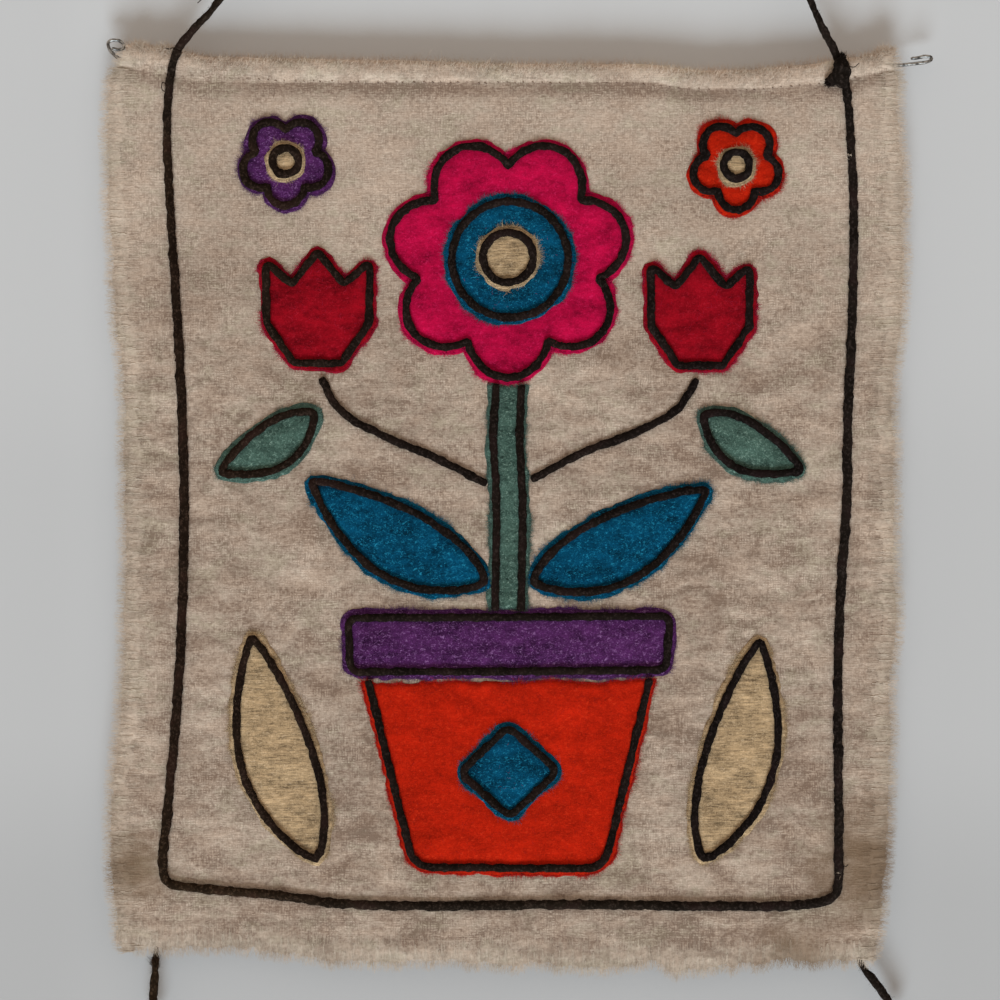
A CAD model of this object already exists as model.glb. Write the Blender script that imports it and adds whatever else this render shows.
"""The looks of an applique wall hanging: a woven wool ground with frayed edges on a bent wire, wool patches
with felted yarn outlines, and one long yarn that frames the cloth and rises as the cord it hangs by.

Places on the cloth are in millimetres, across from its middle line and down from the line of the wire, and
become metres when a mesh is made. The frame has +Z up, and the cloth faces -Y.
"""

import math
from functools import cache, partial

import bpy
import numpy as np
from bpy.props import FloatProperty, FloatVectorProperty, IntProperty, PointerProperty
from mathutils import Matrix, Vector, geometry, kdtree


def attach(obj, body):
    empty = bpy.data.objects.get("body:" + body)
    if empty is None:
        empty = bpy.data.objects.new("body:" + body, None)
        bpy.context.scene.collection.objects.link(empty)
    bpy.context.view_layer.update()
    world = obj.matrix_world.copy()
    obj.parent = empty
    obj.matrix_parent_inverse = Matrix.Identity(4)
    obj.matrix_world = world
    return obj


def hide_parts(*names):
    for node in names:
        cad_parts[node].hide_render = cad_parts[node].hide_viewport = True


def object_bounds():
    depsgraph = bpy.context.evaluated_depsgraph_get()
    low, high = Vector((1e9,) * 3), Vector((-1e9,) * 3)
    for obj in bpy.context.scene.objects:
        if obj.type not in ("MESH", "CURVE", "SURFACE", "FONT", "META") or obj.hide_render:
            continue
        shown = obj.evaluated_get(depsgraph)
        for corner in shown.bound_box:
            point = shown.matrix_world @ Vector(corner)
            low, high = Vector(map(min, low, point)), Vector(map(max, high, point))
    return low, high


bl_info = {
    "name": "Applique Wall Hanging",
    "version": (1, 0, 0),
    "blender": (4, 5, 0),
    "location": "View3D > Sidebar > Hanging",
    "description": "Dresses a wool wall hanging with its weave, frayed edges, patches and felted yarns",
    "category": "Object",
}

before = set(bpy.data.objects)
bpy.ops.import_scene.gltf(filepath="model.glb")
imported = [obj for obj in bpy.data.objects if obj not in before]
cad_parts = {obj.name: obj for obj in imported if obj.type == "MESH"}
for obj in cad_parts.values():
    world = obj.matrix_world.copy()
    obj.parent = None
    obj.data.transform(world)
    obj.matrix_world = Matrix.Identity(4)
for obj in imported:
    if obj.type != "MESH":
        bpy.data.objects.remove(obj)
CAD_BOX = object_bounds()

MM = 0.001

# The cloth, as in the solids
SHEET_MIDDLE = -43.0
WIRE_LINE_DROP = 215.0
CLOTH_THICKNESS = 1.5
FOLD_RADIUS = 3.3
HEM_HEIGHT = 13.5
FLAP_GAP = 0.4
PATCH_THICKNESS = 1.0
PATCH_MARGIN = 3.8
LAY_GAP = 0.38
BORDER_RADIUS = 2.1
LINE_RADIUS = 2.3
WIRE_RADIUS = 0.85
LAYER_STEP = 1.0
LINE_FLATNESS = 0.58
FRAME_FLATNESS = 0.72

# Along a yarn, one turn of its two plies and one lump, and the widths of its hairs and of other fibres
PLY_TURN = 16
LUMP_LENGTH = 3.1
YARN_HAIR = 0.09 * MM
FINE_HAIR = 0.12 * MM
CUT_HAIR = 0.16 * MM
PATCH_HAIR = 0.17 * MM
COARSE_HAIR = 0.22 * MM

# The view: how far away and how far below the nail, and how much of the hanging's width it takes in
VIEW_DISTANCE = 1.2
VIEW_DROP = 0.436
VIEW_WIDTH = 0.5
SENSOR_WIDTH = 36
WALL_DEPTH = 0.0140

# Left and right edge of the woven ground: down, across of the left edge, across of the right edge
SIDE_EDGES = (
    (-8, -187.0, 194.0), (25, -190.0, 192.5), (60, -190.5, 195.5), (120, -187.5, 195.0),
    (165, -182.0, 190.5), (225, -181.5, 191.0), (265, -181.5, 192.0), (325, -183.0, 189.0),
    (380, -188.5, 187.0), (445, -185.5, 184.5),
)

# Bottom edge of the woven ground, the hem's top, and the seam that holds the hem: across, down
BOTTOM_EDGE = (
    (-190, 440.0), (-120, 440.5), (-85, 445.0), (0, 446.5), (85, 448.5), (150, 446.5), (190, 446.5),
)
HEM_TOP = (
    (-190, -7.0), (-168, -5.0), (-145, -0.5), (-60, 1.0), (10, 3.0), (70, 3.0), (100, 6.2),
    (122, 6.0), (150, 3.4), (178, -0.4), (197, -4.2),
)
HEM_SEAM = (
    (-190, 4.0), (-154, 9.2), (-100, 11.6), (-50, 12.2), (60, 12.4), (100, 15.6), (122, 15.8),
    (162, 13.0), (197, 6.0),
)

# The wire's route, from the eye at its left end to the hook at its right end
WIRE_EYE = (
    (-194.4, -5.2), (-192.0, -4.5), (-189.6, -4.8), (-188.6, -6.5), (-190.2, -8.7), (-193.3, -9.7),
    (-195.8, -9.2), (-196.6, -7.2), (-195.4, -4.2), (-192.9, -1.6), (-189.5, 0.1),
)
WIRE_ROD = (
    (-178, 2.0), (-150, 3.6), (-60, 4.4), (10, 5.6), (60, 6.3), (100, 8.8), (120, 8.9), (150, 6.6),
    (180, 3.9), (202, 2.8),
)
WIRE_HOOK = (
    (209.0, 2.1), (213.6, 1.5), (215.9, 0.7), (216.5, -0.5), (215.6, -1.4), (213.0, -1.5),
    (209.5, -0.9), (206.0, -0.1),
)

# The long yarn: its left leg from the top knot, the frame round the cloth, and its right leg
TOP_KNOT_PLACE = (43.0, -191.0)
LEFT_LEG = (
    TOP_KNOT_PLACE, (-6.7, -155.0), (-53.8, -116.0), (-98.2, -74.0), (-133.2, -36.4),
    (-146.5, -20.8), (-154.4, -12.6),
)
FRAME = (
    (-160.0, -5.8), (-163.6, 4.0), (-165.3, 16.0), (-166.5, 38.0), (-164.8, 76.0), (-161.8, 121.0),
    (-159.0, 168.0), (-157.6, 221.0), (-158.8, 276.0), (-161.2, 321.0), (-165.6, 372.0),
    (-168.2, 398.0), (-167.9, 407.5), (-165.2, 412.3), (-159.0, 414.0), (-140.0, 416.0),
    (-110.0, 418.7), (-79.0, 422.6), (-40.0, 423.5), (30.0, 423.0), (90.0, 423.8), (140.0, 423.6),
    (159.0, 421.6), (165.8, 418.8), (168.7, 412.0), (169.0, 390.0), (168.9, 311.0), (170.4, 265.0),
    (173.2, 222.0), (173.7, 182.0), (176.0, 130.0), (177.0, 86.0), (175.9, 50.0), (173.4, 18.0),
    (170.6, 6.0),
)
RIGHT_LEG = (
    (166.2, -5.2), (160.2, -16.6), (154.3, -29.4), (131.6, -73.3), (105.4, -114.9), (75.9, -154.1),
    TOP_KNOT_PLACE,
)
LEFT_LEG_START = (-160.9, -3.6)
HEM_KNOT_PLACE = (170.2, 8.0)
HEM_KNOT_STUB = ((168.5, 9.0), (166.0, 11.0), (164.2, 13.0))
KNOT_INSIDE = 5.0
TOP_CLEAR = 4.0
# Above the hem the legs are thinner, as a share, from this place down over this length
LEG_SHARE = 0.80
LEG_THICKENS = -26
LEG_THICKENING = 20
FRAME_SWELL = 0.12

# Yarn tails behind the lower corners: across, down, share of the yarn's radius
LEFT_TAIL = (
    (-171.0, 428.0, 0.80), (-171.6, 440.0, 0.60), (-172.3, 447.0, 0.55), (-172.6, 452.5, 0.95),
    (-172.8, 457.0, 0.72), (-173.2, 460.5, 1.0), (-173.5, 466.0, 1.0), (-174.0, 473.0, 1.0),
    (-174.1, 478.6, 1.0),
)
RIGHT_TAIL = (
    (171.0, 433.0, 0.7), (176.5, 444.0, 0.75), (181.6, 454.5, 0.72), (185.8, 460.0, 1.0),
    (190.4, 465.6, 1.0), (194.2, 471.4, 1.0), (197.2, 477.2, 1.0),
)

# How many points a smooth line has from one point of its route to the next
CURVE_STEPS = 16

# The design: a flower in a pot
FLOWER = {"across": 4, "down": 100, "radius": 60, "petals": 7, "dent": 0.24}
FLOWER_DISC = {"across": 5, "down": 101, "radius": 29}
FLOWER_CENTRE = {"across": 4, "down": 100, "radius": 12.5}
STEM_HALF_WIDTH = 6.5
STEM_CENTRE = ((4.5, 163.3), (3.2, 190), (4.8, 225), (4.0, 276.4))
RIM_CORNERS = ((-76, 280), (85, 279), (83, 306), (-75, 307))
POT_SIDES = ((-66, 311.2), (-43, 404), (52, 405), (75, 310.2))
DIAMOND_CORNERS = ((4, 334), (29, 356), (5, 379), (-20, 357))
TULIP_SHAPE = ((0.5, 0.272), (1, 0.08), (0.98, 0.6), (0.45, 0.93))

# Leaves: name, finish, base, tip, half width, bend
LEAVES = (
    ("leaf_left", "teal_wool", (-8, 262), (-94, 212), 17.5, 5),
    ("leaf_right", "teal_wool", (17, 262), (103, 216), 17.0, -5),
    ("sprig_left", "green_wool", (-93, 178), (-139, 207), 11.0, 3),
    ("sprig_right", "green_wool", (102, 179), (150, 206), 11.5, -3),
    ("side_leaf_left", "cream_wool", (-92, 400), (-124, 290), 18.0, 5),
    ("side_leaf_right", "cream_wool", (102, 400), (130, 292), 17.5, -5),
)

# Tulips: name, middle across, top down, half width, height
TULIPS = (
    ("tulip_left", -91, 97, 26, 60),
    ("tulip_right", 100, 99, 25, 59),
)

# Small blossoms: name, finish, across, down, radius, petals
BLOSSOMS = (
    ("blossom_left", "purple_wool", -107, 52, 22, 5),
    ("blossom_right", "orange_wool", 118, 54, 22, 5),
)

# Side stems, each a single yarn
SIDE_STEMS = (
    ("side_stem_left", ((-6.5, 213), (-32, 200), (-58, 189), (-79, 177), (-89.5, 160))),
    ("side_stem_right", ((15.5, 211), (40, 198), (67, 187.5), (88, 176), (98.5, 160.5))),
)

# Stains of the ground: across, down, reach, strength
STAINS = ((-182, 405, 25, 0.80), (186, 402, 42, 0.88), (150, 452, 28, 0.7))

# Hairs and lint that have caught on the yarns, and the bristles where a yarn was cut
LOOSE_THREADS = (
    ((-167.0, -4.6), (-165.0, -4.0), (-163.2, -4.6), (-161.0, -3.6)),
    ((-165.8, 14.0), (-168.4, 12.6), (-168.6, 16.2), (-166.0, 17.4)),
    ((169.5, 402.0), (172.0, 403.5), (173.5, 402.8)),
    ((-134.5, -35.0), (-140.5, -35.2), (-147.5, -30.0), (-151.0, -27.2)),
)
KNOT_THREAD = ((173, 4), (175, 5.2), (177, 5.0), (179, 3.2))
LINT_SPOTS = ((174.4, 49.0), (168.8, 407.0), (167.0, 423.0))
KNOT_SPUR = (171.0, 0.6)
TAIL_BRUSH = (-172.6, 453.6)

# How many loose fibres lie on a patch, for each point of its mesh
LOOSE_FIBRES = {"purple_wool": 0.9, "cream_wool": 0.5, "green_wool": 0.6, "teal_wool": 0.5}
FEW_FIBRES = 0.3

# Wool finishes: colour, fleck colour, edge fibre colour, then how strong mottling, streaks, flecks and weave
# are
WOOLS = {
    "pink_wool": ((0.430, 0.0028, 0.0435), (0.62, 0.035, 0.170), (0.50, 0.012, 0.085), 0.9, 0.15, 0.42, 0.20),
    "red_wool": ((0.250, 0.0024, 0.0085), (0.38, 0.022, 0.040), (0.40, 0.020, 0.060), 1.0, 0.15, 0.50, 0.15),
    "orange_wool": ((0.448, 0.013, 0.0027), (0.55, 0.055, 0.016), (0.38, 0.018, 0.018), 0.5, 0.12, 0.5, 0.20),
    "teal_wool": ((0.001, 0.050, 0.104), (0.020, 0.270, 0.420), (0.008, 0.110, 0.170), 1.2, 0.20, 1.05, 0.30),
    "purple_wool": ((0.071, 0.016, 0.083), (0.31, 0.160, 0.350), (0.10, 0.035, 0.120), 1.1, 0.25, 1.05, 0.50),
    "cream_wool": ((0.415, 0.287, 0.161), (0.62, 0.490, 0.350), (0.46, 0.340, 0.210), 0.8, 1.50, 0.60, 0.30),
    "green_wool": ((0.056, 0.104, 0.082), (0.240, 0.340, 0.280), (0.10, 0.150, 0.125), 0.8, 0.45, 1.10, 0.30),
}


def colour_setting(name, description, default):
    return FloatVectorProperty(
        name=name, description=description, subtype="COLOR", size=3, min=0, max=1, default=default
    )


def length_setting(name, description, default, least, most):
    """A length whose default and limits are given in millimetres."""
    return FloatProperty(
        name=name, description=description, default=default * MM, min=least * MM, max=most * MM, unit="LENGTH"
    )


class HangingSettings(bpy.types.PropertyGroup):
    """Sizes and colours of the hanging that a user would change."""

    ground_light: colour_setting("Ground, light", "Light threads of the undyed ground", (0.614, 0.495, 0.392))
    ground_dark: colour_setting(
        "Ground, dark", "Dark blotches and gaps of the undyed ground", (0.226, 0.159, 0.116)
    )
    stain: colour_setting("Stain", "Brownish stains at the lower corners", (0.195, 0.127, 0.075))
    yarn_colour: colour_setting(
        "Yarn", "Felted near-black yarn of the outlines and cord", (0.0130, 0.0088, 0.0060)
    )
    wall_colour: colour_setting("Wall", "Plain wall behind the hanging, a backdrop only", (0.57, 0.57, 0.57))
    thread_pitch: length_setting(
        "Thread pitch", "Distance from one thread of the ground's weave to the next", 1.3, 0.5, 4
    )
    fray_length: length_setting(
        "Fray length", "How far the longest frayed threads stand out past the woven ground", 11.0, 2, 20
    )
    patch_fuzz: length_setting("Patch fuzz", "Length of the coloured fibres round the patches", 3.2, 0.5, 8)
    yarn_fuzz: length_setting("Yarn fuzz", "Length of the fibres that stand out of the yarns", 1.5, 0.2, 5)
    ground_step: length_setting(
        "Ground mesh step", "Distance between the points of the ground's mesh", 2.6, 2, 10
    )
    seed: IntProperty(
        name="Seed",
        description="Which of many like arrangements of fibres is made",
        default=7,
        min=0,
    )


def settings():
    return bpy.context.scene.hanging


def seeded(name):
    """A random generator of its own for each piece, the same on every run."""
    return np.random.default_rng([settings().seed, *name.encode()])


# Places on the cloth, as arrays of across and down in millimetres


def ease(share):
    share = np.clip(share, 0.0, 1.0)
    return share * share * (3 - 2 * share)


def read_table(table, at, column=1):
    rows = np.array(table, float)
    at = np.asarray(at, float)
    low = np.clip(np.searchsorted(rows[:, 0], at) - 1, 0, len(rows) - 2)
    share = ease((at - rows[low, 0]) / (rows[low + 1, 0] - rows[low, 0]))
    return rows[low, column] + share * (rows[low + 1, column] - rows[low, column])


def cloth_depth(flat):
    """How far the ground's front face lies behind the plane of the nail."""
    across, down = flat[..., 0], flat[..., 1]
    rolls = 1.2 * np.cos(math.tau * (across / 190 + 0.35 * down / 240))
    sway = 0.9 * np.sin(math.tau * down / 240)
    return ease(down / 120) * (rolls + sway)


def layer_depth(flat, layer):
    """The front face of a layer of patches, or of the ground itself for layer 0."""
    return cloth_depth(flat) - relief(flat) - layer * LAYER_STEP


def placed(flat, depth):
    """Points of the cloth plane at these depths, in metres."""
    flat = np.asarray(flat, float)
    depth = np.broadcast_to(depth, flat.shape[:-1])
    return np.stack([SHEET_MIDDLE + flat[..., 0], depth, -(WIRE_LINE_DROP + flat[..., 1])], -1) * MM


def height_at(down):
    """The Z, in metres, of a place that many millimetres down the cloth."""
    return -(WIRE_LINE_DROP + down) * MM


def patchy(x, y, seed):
    """Smooth noise from -1 to 1 with one hill or hollow for each unit of x and y."""
    lattice = np.random.default_rng(seed).random((128, 128)) * 2 - 1
    x0, y0 = np.floor(x).astype(int), np.floor(y).astype(int)
    fx, fy = ease(x - x0), ease(y - y0)
    rows = [
        lattice[(x0 + i) % 128, (y0) % 128] * (1 - fy) + lattice[(x0 + i) % 128, (y0 + 1) % 128] * fy
        for i in (0, 1)
    ]
    return rows[0] * (1 - fx) + rows[1] * fx


# Smooth lines


def smooth_line(route):
    """Many points on a Catmull-Rom curve through the points of a route."""
    route = np.array(route, float)
    padded = np.concatenate([2 * route[:1] - route[1:2], route, 2 * route[-1:] - route[-2:-1]])
    share = (np.arange(CURVE_STEPS) / CURVE_STEPS)[None, :, None]
    before, start, end, after = (padded[i : len(padded) - 3 + i, None, :] for i in range(4))
    line = 0.5 * (
        2 * start
        + (end - before) * share
        + (2 * before - 5 * start + 4 * end - after) * share**2
        + (3 * start - before - 3 * end + after) * share**3
    )
    return np.concatenate([line.reshape(-1, route.shape[1]), route[-1:]])


def lengths_of(line):
    return np.concatenate([[0], np.cumsum(np.linalg.norm(np.diff(line, axis=0), axis=1))])


def evened(line, step, start=0.0, end=None, closed=False):
    """The line again with even spacing; a closed one doesn't repeat its first point."""
    line = np.asarray(line, float)
    if closed:
        line = np.concatenate([line, line[:1]])
    along = lengths_of(line)
    end = along[-1] if end is None else end
    at = np.linspace(start, end, max(3, round((end - start) / step) + 1))
    if closed:
        at = at[:-1]
    return np.stack([np.interp(at, along, line[:, k]) for k in range(line.shape[1])], 1)


def nearest_length(line, target):
    return lengths_of(line)[np.linalg.norm(line - np.array(target), axis=1).argmin()]


def outward_normals(line, closed=True):
    """Unit vectors to the left of a line on the cloth, which is outside for the outlines here."""
    if closed:
        along = np.roll(line, -1, 0) - np.roll(line, 1, 0)
    else:
        along = np.gradient(line, axis=0)
    along /= np.linalg.norm(along, axis=1)[:, None]
    return np.stack([along[:, 1], -along[:, 0]], 1)


# Outlines of the motifs


def petal_outline(across, down, radius, petals=1, dent=0.0):
    angle = math.tau * np.arange(240) / 240
    reach = radius * (1 - dent + dent * np.abs(np.cos(petals * angle / 2)) ** 0.8)
    return np.stack([across - reach * np.sin(angle), down + reach * np.cos(angle)], 1)


def leaf_outline(base, tip, half_width, bend):
    base, tip = np.array(base, float), np.array(tip, float)
    along = tip - base
    side = np.array([along[1], -along[0]]) / np.linalg.norm(along)
    share = np.linspace(0, 1, 49)[1:-1, None]
    middle = base + along * share + side * bend * np.sin(math.pi * share)
    width = half_width * np.sin(math.pi * share**0.85) ** 0.8
    return np.concatenate([[base], middle + side * width, [tip], (middle - side * width)[::-1]])


def rounded_line(corners, radius, closed=True):
    corners = np.array(corners, float)
    count = len(corners)
    line = []
    for i, corner in enumerate(corners):
        if not closed and i in (0, count - 1):
            line.append(corner)
            continue
        before = corners[i - 1] - corner
        after = corners[(i + 1) % count] - corner
        before /= np.linalg.norm(before)
        after /= np.linalg.norm(after)
        cut = radius / math.tan(math.acos(np.clip(before @ after, -1, 1)) / 2)
        for k in np.linspace(0, 1, 9):
            start, end = corner + before * cut, corner + after * cut
            line.append(start * (1 - k) ** 2 + 2 * corner * k * (1 - k) + end * k**2)
    return np.array(line)


def tulip_outline(middle, top, half_width, height):
    right = [(middle + wide * half_width, top + low * height) for wide, low in TULIP_SHAPE]
    left = [(2 * middle - across, down) for across, down in right]
    return rounded_line([left[1], left[0], (middle, top), *right, left[3], left[2]], 2.2)


def motifs():
    """Each closed motif's name, finish and layer, and the line of its yarn."""
    made = [
        ("flower", "pink_wool", 1, petal_outline(**FLOWER)),
        ("disc", "teal_wool", 2, petal_outline(**FLOWER_DISC)),
        ("centre", "cream_wool", 3, petal_outline(**FLOWER_CENTRE)),
        ("rim", "purple_wool", 1, rounded_line(RIM_CORNERS, 5)),
        ("diamond", "teal_wool", 2, rounded_line(DIAMOND_CORNERS, 5)),
    ]
    made += [(name, finish, 1, leaf_outline(*shape)) for name, finish, *shape in LEAVES]
    made += [(name, "red_wool", 1, tulip_outline(*sizes)) for name, *sizes in TULIPS]
    for name, finish, across, down, radius, petals in BLOSSOMS:
        made.append((name, finish, 1, petal_outline(across, down, radius, petals, 0.3)))
        made.append((name + "_eye", "cream_wool", 2, petal_outline(across, down, 6.5)))
    return [(name, finish, layer, evened(line, 1.0, closed=True)) for name, finish, layer, line in made]


def stem_sides():
    centre = evened(smooth_line(STEM_CENTRE), 1.0)
    out = outward_normals(centre, closed=False)
    return centre + out * STEM_HALF_WIDTH, centre - out * STEM_HALF_WIDTH


def pot_sides():
    return evened(rounded_line(POT_SIDES, 12, closed=False), 1.0)


def yarn_lines():
    """Every yarn that lies on the cloth: name, layer, line on the cloth, whether it is closed."""
    lines = [(name, layer, line, True) for name, _, layer, line in motifs()]
    left, right = stem_sides()
    lines.append(("stem_left", 1, left, False))
    lines.append(("stem_right", 1, right, False))
    lines.append(("pot", 1, pot_sides(), False))
    for name, route in SIDE_STEMS:
        lines.append((name, 0, evened(smooth_line(route), 1.0), False))
    return lines


def long_yarn():
    """The stretches of the long yarn: each name's line on the cloth plane, and how far along it starts."""
    line = smooth_line(LEFT_LEG + FRAME + RIGHT_LEG)
    leg_end = nearest_length(line, LEFT_LEG_START)
    knot = nearest_length(line, HEM_KNOT_PLACE)
    whole = lengths_of(line)[-1]
    spans = {
        "cord_left": (TOP_CLEAR, leg_end),
        "border_yarn": (leg_end, knot - KNOT_INSIDE),
        "cord_right": (knot + KNOT_INSIDE, whole - TOP_CLEAR),
    }
    return {name: (evened(line, 0.9, *span), span[0]) for name, span in spans.items()}


class Sewn:
    """Where the yarns hold the cloth down: for any places on it, the distance to them and how far along."""

    def __init__(self):
        points = [line for _, _, line, _ in yarn_lines()] + [long_yarn()["border_yarn"][0]]
        self.points = np.concatenate(points)
        self.tree = kdtree.KDTree(len(self.points))
        for i, point in enumerate(self.points):
            self.tree.insert((point[0], point[1], 0), i)
        self.tree.balance()

    def near(self, flat):
        found = [self.tree.find((x, y, 0)) for x, y in flat.reshape(-1, 2)]
        index = np.array([f[1] for f in found]).reshape(flat.shape[:-1])
        away = np.array([f[2] for f in found]).reshape(flat.shape[:-1])
        return away, index


sewn = Sewn()


def relief(flat):
    """How far the ground's front stands out, in millimetres: hem, seam, puckers and wrinkles."""
    across, down = flat[..., 0], flat[..., 1]
    seam = read_table(HEM_SEAM, across)
    top = read_table(HEM_TOP, across)
    band = np.clip((down - top) / (seam - top), 0, 1)
    hem = np.where(down < seam, 0.9 * np.sin(math.pi * band) ** 0.7, 0)
    valley = -0.8 * np.exp(-(((down - seam) / 1.6) ** 2))
    pinches = 0.25 * patchy(across / 3.2, down * 0, 21) * np.exp(-(((down - seam) / 7) ** 2))
    away, index = sewn.near(flat)
    held = np.exp(-((away / 3.2) ** 2))
    ripples = 0.45 * patchy(index / 7.0, away * 0 + 3, 22) * np.exp(-away / 8.0) * (1 - held)
    low = ease((down - 60) / 260)
    folds = (0.25 + 0.75 * low) * 0.75 * patchy(across / 34, down / 13 + 0.35 * across / 34, 23)
    small = 0.22 * patchy(across / 9, down / 7, 24)
    far = 1 - np.exp(-away / 9.0)
    woven = hem + valley + pinches + ripples + far * (folds * ease((down - seam - 8) / 30) + small)
    return woven - 0.45 * held * ease((down - seam) / 20)


# Mesh building, with arrays of points in metres


def new_piece(name, points, faces, material, slot, replaces=()):
    """A mesh piece from its points and its faces, which are rows of point numbers."""
    mesh = bpy.data.meshes.new(name)
    faces = [np.asarray(f, np.int32) for f in (faces if isinstance(faces, list) else [faces])]
    counts = np.concatenate([np.full(len(f), f.shape[1], np.int32) for f in faces])
    corners = np.concatenate([f.ravel() for f in faces])
    mesh.vertices.add(len(points))
    mesh.vertices.foreach_set("co", np.asarray(points, np.float32).ravel())
    mesh.loops.add(len(corners))
    mesh.loops.foreach_set("vertex_index", corners)
    starts = np.concatenate([[0], np.cumsum(counts)[:-1]]).astype(np.int32)
    mesh.polygons.add(len(counts))
    mesh.polygons.foreach_set("loop_start", starts)
    mesh.polygons.foreach_set("loop_total", counts)
    mesh.polygons.foreach_set("use_smooth", np.ones(len(counts), bool))
    mesh.update(calc_edges=True)
    mesh.validate()
    mesh.materials.append(material)
    piece = bpy.data.objects.new(name, mesh)
    bpy.context.scene.collection.objects.link(piece)
    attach(piece, "root")
    if replaces:
        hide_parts(*replaces)
    return piece


def joined(parts):
    """Several lots of points and faces as one."""
    points, faces, start = [], {}, 0
    for some_points, some_faces in parts:
        for f in some_faces if isinstance(some_faces, list) else [some_faces]:
            faces.setdefault(f.shape[1], []).append(np.asarray(f) + start)
        points.append(some_points)
        start += len(some_points)
    return np.concatenate(points), [np.concatenate(f) for f in faces.values()]


def grid_faces(rows, columns, wrap=False):
    """Quads over a grid of points numbered row by row, closing each row on itself if wrap is set."""
    across = columns if wrap else columns - 1
    r, c = np.meshgrid(np.arange(rows - 1), np.arange(across), indexing="ij")
    r, c = r.ravel(), c.ravel()
    after = (c + 1) % columns
    row, below = r * columns, (r + 1) * columns
    return np.stack([row + c, row + after, below + after, below + c], 1)


def yarn_tube(
    line, radius, closed=False, sides=12, plies=0.13, lumps=0.09, seed=1, flatness=1.0,
    shares=1.0, begins=0.0, cut=True,
):
    """A felted two-ply yarn along a line in metres, with its radius in millimetres.

    Flatness is thick to wide; shares are of the radius, at each point or everywhere; begins is how far along a
    longer yarn it starts; and cut is whether its ends are cut ones.
    """
    count = len(line)
    along = unit(np.roll(line, -1, 0) - np.roll(line, 1, 0) if closed else np.gradient(line, axis=0))
    side = unit(np.cross(along, (0.0, 1.0, 0.0)))
    up = np.cross(side, along) * flatness
    step = np.linalg.norm(line[1] - line[0]) / MM
    at = begins + np.arange(count) * step
    whole = count * step
    phase = math.tau * at * (max(1, round(whole / PLY_TURN)) / 2 / whole if closed else 1 / PLY_TURN)
    angle = math.tau * np.arange(sides) / sides
    loop = at / whole * round(whole / LUMP_LENGTH) if closed else at / LUMP_LENGTH
    swell = 1 + lumps * patchy(loop, loop * 0, seed) + 0.5 * lumps * patchy(2.3 * loop, loop * 0 + 9, seed)
    ring = 1 + plies * (np.abs(np.cos(angle[None, :] - phase[:, None])) - 0.64)
    rough = 0.11 * patchy(angle[None, :] * 1.9 + loop[:, None] * 0, loop[:, None] * 2.2, seed + 5)
    reach = radius * MM * swell[:, None] * (ring + rough) * np.reshape(shares, (-1, 1))
    if cut and not closed:
        reach[[0, -1]] *= 0.6
        reach[[1, -2]] *= 0.9
    wander = 0.22 * MM * patchy(loop * 0.9, loop * 0 + 4, seed + 2)
    middle = line + side * wander[:, None]
    points = middle[:, None, :] + reach[..., None] * (
        np.cos(angle)[None, :, None] * side[:, None, :] + np.sin(angle)[None, :, None] * up[:, None, :]
    )
    points = points.reshape(-1, 3)
    rows = count + 1 if closed else count
    faces = grid_faces(rows, sides, wrap=True) % (count * sides)
    if closed:
        return points, [faces]
    ends = np.stack([line[0], line[-1]])
    ring_ids = np.arange(sides)
    after = (ring_ids + 1) % sides
    start = count * sides
    first = np.stack([np.full(sides, start), after, ring_ids], 1)
    last = np.stack([np.full(sides, start + 1), ring_ids + start - sides, after + start - sides], 1)
    return np.concatenate([points, ends]), [faces, np.concatenate([first, last])]


def unit(vectors):
    return vectors / np.maximum(np.linalg.norm(vectors, axis=-1, keepdims=True), 1e-9)


def ribbon_faces(count, segments):
    """Quads of many ribbons, whose points are numbered in pairs from each one's start."""
    rung = (np.arange(segments)[None, :] * 2 + np.arange(count)[:, None] * 2 * (segments + 1)).ravel()
    return np.stack([rung, rung + 1, rung + 3, rung + 2], 1)


def fibres(roots, heads, lengths, width, rng, curl=0.5, segments=3):
    """Thin tapered ribbons in metres that start at the roots and curl as they go."""
    count = len(roots)
    heads = unit(heads)
    share = np.linspace(0, 1, segments + 1)[None, :, None]
    sideways = unit(np.cross(heads, unit(rng.normal(size=(count, 3)))))
    second = np.cross(heads, sideways)
    swing = rng.normal(size=(count, 1, 1)) * curl
    twist = rng.normal(size=(count, 1, 1)) * curl * 0.6
    wave = np.sin(share * math.pi * rng.uniform(0.7, 1.6, (count, 1, 1)))
    reach = lengths[:, None, None]
    path = roots[:, None, :] + reach * (
        heads[:, None, :] * share
        + sideways[:, None, :] * swing * share**2
        + second[:, None, :] * twist * wave * share
    )
    across = np.cross(heads, unit(rng.normal(size=(count, 3)) + np.array([0, 2.0, 0])))
    half = unit(across)[:, None, :] * (0.5 * width * (1 - 0.75 * share))
    points = np.stack([path - half, path + half], 2).reshape(-1, 3)
    return points, [ribbon_faces(count, segments)]


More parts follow.
